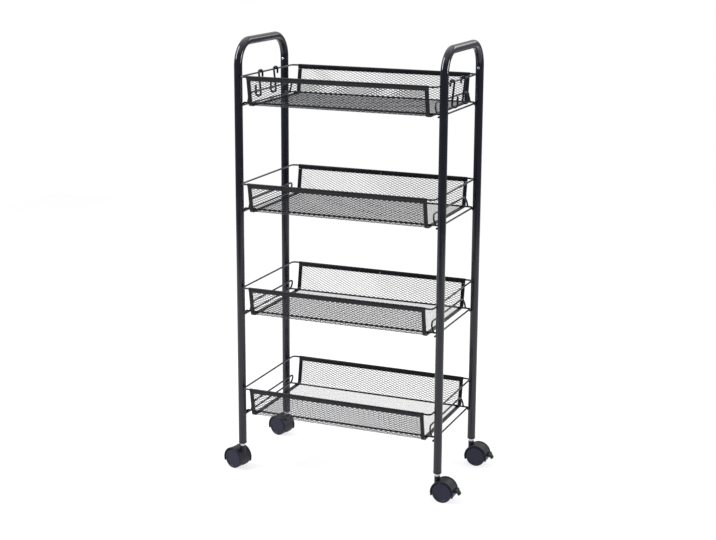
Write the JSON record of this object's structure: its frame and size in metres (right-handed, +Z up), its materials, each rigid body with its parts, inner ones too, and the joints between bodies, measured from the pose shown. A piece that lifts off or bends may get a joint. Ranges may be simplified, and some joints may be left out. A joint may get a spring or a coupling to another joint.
{
  "type": "rolling mesh basket cart",
  "caption": "Slim rolling storage cart: tube side frames with push handles carry open-ended expanded-mesh baskets, with S-hooks and swivel casters, some braked.",
  "frame": {"origin": "on the floor, below the middle of the four legs", "axes": "+Z up, +X along the baskets towards the braked casters, -Y the pictured front"},
  "size_m": [0.5061, 0.2508, 0.87],
  "materials": {
    "powder_coated_tube": "semi-gloss black powder coat on steel tube",
    "powder_coated_mesh": "semi-gloss black powder coat on expanded steel sheet",
    "powder_coated_strip": "semi-gloss black powder coat on folded steel strip",
    "powder_coated_wire": "semi-gloss black powder coat on steel wire",
    "powder_coated_hook": "semi-gloss black coat on bent steel wire",
    "socket_plastic": "satin moulded polyethylene",
    "plated_steel": "bright zinc plate",
    "wheel_plastic": "satin moulded nylon",
    "hood_plastic": "satin moulded nylon"
  },
  "bodies": {
    "cart": {"basket_bottom_cradle": "powder_coated_wire", "basket_bottom_end_bindings": "powder_coated_strip", "basket_bottom_mesh_tray": "powder_coated_mesh", "basket_bottom_rim_wire": "powder_coated_wire", "basket_bottom_top_bands": "powder_coated_strip", "basket_lower_cradle": "powder_coated_wire", "basket_lower_end_bindings": "powder_coated_strip", "basket_lower_mesh_tray": "powder_coated_mesh", "basket_lower_rim_wire": "powder_coated_wire", "basket_lower_top_bands": "powder_coated_strip", "basket_top_cradle": "powder_coated_wire", "basket_top_end_bindings": "powder_coated_strip", "basket_top_mesh_tray": "powder_coated_mesh", "basket_top_rim_wire": "powder_coated_wire", "basket_top_top_bands": "powder_coated_strip", "basket_upper_cradle": "powder_coated_wire", "basket_upper_end_bindings": "powder_coated_strip", "basket_upper_mesh_tray": "powder_coated_mesh", "basket_upper_rim_wire": "powder_coated_wire", "basket_upper_top_bands": "powder_coated_strip", "lower_frame_left": "powder_coated_tube", "lower_frame_right": "powder_coated_tube", "stem_socket_front_left": "socket_plastic", "stem_socket_front_right": "socket_plastic", "stem_socket_rear_left": "socket_plastic", "stem_socket_rear_right": "socket_plastic", "upper_frame_left": "powder_coated_tube", "upper_frame_right": "powder_coated_tube"},
    "caster_front_left": {"caster_front_left_stem": "plated_steel", "caster_front_left_grip_ring": "plated_steel", "caster_front_left_hood": "hood_plastic", "caster_front_left_axle": "plated_steel"},
    "wheel_a_front_left": {"caster_front_left_wheel_a": "wheel_plastic"},
    "wheel_b_front_left": {"caster_front_left_wheel_b": "wheel_plastic"},
    "caster_rear_left": {"caster_rear_left_stem": "plated_steel", "caster_rear_left_grip_ring": "plated_steel", "caster_rear_left_hood": "hood_plastic", "caster_rear_left_axle": "plated_steel"},
    "wheel_a_rear_left": {"caster_rear_left_wheel_a": "wheel_plastic"},
    "wheel_b_rear_left": {"caster_rear_left_wheel_b": "wheel_plastic"},
    "caster_front_right": {"caster_front_right_stem": "plated_steel", "caster_front_right_grip_ring": "plated_steel", "caster_front_right_hood": "hood_plastic", "caster_front_right_axle": "plated_steel"},
    "wheel_a_front_right": {"caster_front_right_wheel_a": "wheel_plastic"},
    "wheel_b_front_right": {"caster_front_right_wheel_b": "wheel_plastic"},
    "brake_pedal_front_right": {"caster_front_right_brake_pedal": "hood_plastic"},
    "caster_rear_right": {"caster_rear_right_stem": "plated_steel", "caster_rear_right_grip_ring": "plated_steel", "caster_rear_right_hood": "hood_plastic", "caster_rear_right_axle": "plated_steel"},
    "wheel_a_rear_right": {"caster_rear_right_wheel_a": "wheel_plastic"},
    "wheel_b_rear_right": {"caster_rear_right_wheel_b": "wheel_plastic"},
    "brake_pedal_rear_right": {"caster_rear_right_brake_pedal": "hood_plastic"},
    "hook_left_front": {"s_hook_left_front": "powder_coated_hook"},
    "hook_left_rear": {"s_hook_left_rear": "powder_coated_hook"},
    "hook_right_front": {"s_hook_right_front": "powder_coated_hook"},
    "hook_right_rear": {"s_hook_right_rear": "powder_coated_hook"}
  },
  "joints": [
    {"name": "front_left_swivel", "type": "hinge", "parent": "cart", "child": "caster_front_left", "pos_m": [-0.209, -0.104, 0.0501], "axis": [0, 0, 1], "continuous": true},
    {"name": "front_left_wheel_a_spin", "type": "hinge", "parent": "caster_front_left", "child": "wheel_a_front_left", "pos_m": [-0.22252, -0.10038, 0.02], "axis": [-0.2588, -0.9659, 0], "continuous": true},
    {"name": "front_left_wheel_b_spin", "type": "hinge", "parent": "caster_front_left", "child": "wheel_b_front_left", "pos_m": [-0.22252, -0.10038, 0.02], "axis": [-0.2588, -0.9659, 0], "continuous": true},
    {"name": "rear_left_swivel", "type": "hinge", "parent": "cart", "child": "caster_rear_left", "pos_m": [-0.209, 0.104, 0.0501], "axis": [0, 0, 1], "continuous": true},
    {"name": "rear_left_wheel_a_spin", "type": "hinge", "parent": "caster_rear_left", "child": "wheel_a_rear_left", "pos_m": [-0.22252, 0.10762, 0.02], "axis": [-0.2588, -0.9659, 0], "continuous": true},
    {"name": "rear_left_wheel_b_spin", "type": "hinge", "parent": "caster_rear_left", "child": "wheel_b_rear_left", "pos_m": [-0.22252, 0.10762, 0.02], "axis": [-0.2588, -0.9659, 0], "continuous": true},
    {"name": "front_right_swivel", "type": "hinge", "parent": "cart", "child": "caster_front_right", "pos_m": [0.209, -0.104, 0.0501], "axis": [0, 0, 1], "continuous": true},
    {"name": "front_right_wheel_a_spin", "type": "hinge", "parent": "caster_front_right", "child": "wheel_a_front_right", "pos_m": [0.223, -0.104, 0.02], "axis": [0, 1, 0], "continuous": true},
    {"name": "front_right_wheel_b_spin", "type": "hinge", "parent": "caster_front_right", "child": "wheel_b_front_right", "pos_m": [0.223, -0.104, 0.02], "axis": [0, 1, 0], "continuous": true},
    {"name": "front_right_brake_lift", "type": "hinge", "parent": "caster_front_right", "child": "brake_pedal_front_right", "pos_m": [0.2491, -0.104, 0.0246], "axis": [0, -1, 0], "range_deg": [0, 30]},
    {"name": "rear_right_swivel", "type": "hinge", "parent": "cart", "child": "caster_rear_right", "pos_m": [0.209, 0.104, 0.0501], "axis": [0, 0, 1], "continuous": true},
    {"name": "rear_right_wheel_a_spin", "type": "hinge", "parent": "caster_rear_right", "child": "wheel_a_rear_right", "pos_m": [0.223, 0.104, 0.02], "axis": [0, 1, 0], "continuous": true},
    {"name": "rear_right_wheel_b_spin", "type": "hinge", "parent": "caster_rear_right", "child": "wheel_b_rear_right", "pos_m": [0.223, 0.104, 0.02], "axis": [0, 1, 0], "continuous": true},
    {"name": "rear_right_brake_lift", "type": "hinge", "parent": "caster_rear_right", "child": "brake_pedal_rear_right", "pos_m": [0.2491, 0.104, 0.0246], "axis": [0, -1, 0], "range_deg": [0, 30]},
    {"name": "hook_left_front_swing", "type": "hinge", "parent": "cart", "child": "hook_left_front", "pos_m": [-0.19895, -0.027, 0.798], "axis": [0, 1, 0], "range_deg": [0, 80]},
    {"name": "hook_left_rear_swing", "type": "hinge", "parent": "cart", "child": "hook_left_rear", "pos_m": [-0.19895, 0.041, 0.798], "axis": [0, 1, 0], "range_deg": [0, 80]},
    {"name": "hook_right_front_swing", "type": "hinge", "parent": "cart", "child": "hook_right_front", "pos_m": [0.19895, -0.029, 0.798], "axis": [0, -1, 0], "range_deg": [0, 80]},
    {"name": "hook_right_rear_swing", "type": "hinge", "parent": "cart", "child": "hook_right_rear", "pos_m": [0.19895, 0.034, 0.798], "axis": [0, -1, 0], "range_deg": [0, 80]}
  ]
}
